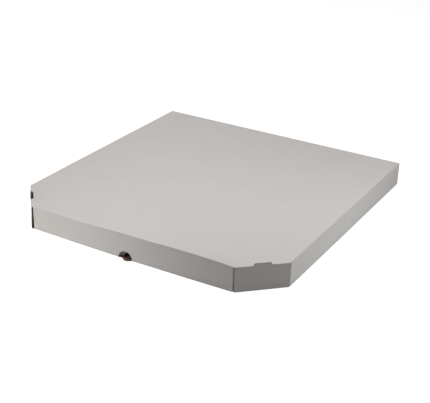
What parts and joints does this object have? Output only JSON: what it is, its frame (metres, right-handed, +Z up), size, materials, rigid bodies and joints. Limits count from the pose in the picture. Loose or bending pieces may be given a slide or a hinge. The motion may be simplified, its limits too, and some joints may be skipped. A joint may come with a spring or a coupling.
{
  "type": "pizza box",
  "caption": "Square flat pizza box folded from white corrugated board, with cut front corners, a hinged lid with walls outside the base tray and a half-moon finger notch.",
  "frame": {"origin": "middle of the closed box's footprint, on the surface that it stands on", "axes": "+Z up, -Y towards the front wall with the finger notch, +Y towards the hinge crease, +X to the right seen from the front"},
  "size_m": [0.4, 0.4049, 0.0367],
  "materials": {
    "base_board": "matte brown kraft liner inside, white outside",
    "lid_board": "matte white liner outside, brown kraft inside"
  },
  "bodies": {
    "base": {"base_tray": "base_board"},
    "lid": {"lid": "lid_board"}
  },
  "joints": [
    {"name": "lid_hinge", "type": "hinge", "parent": "base", "child": "lid", "pos_m": [0, 0.2, 0.034], "axis": [-1, 0, 0], "range_deg": [0, 175]}
  ]
}
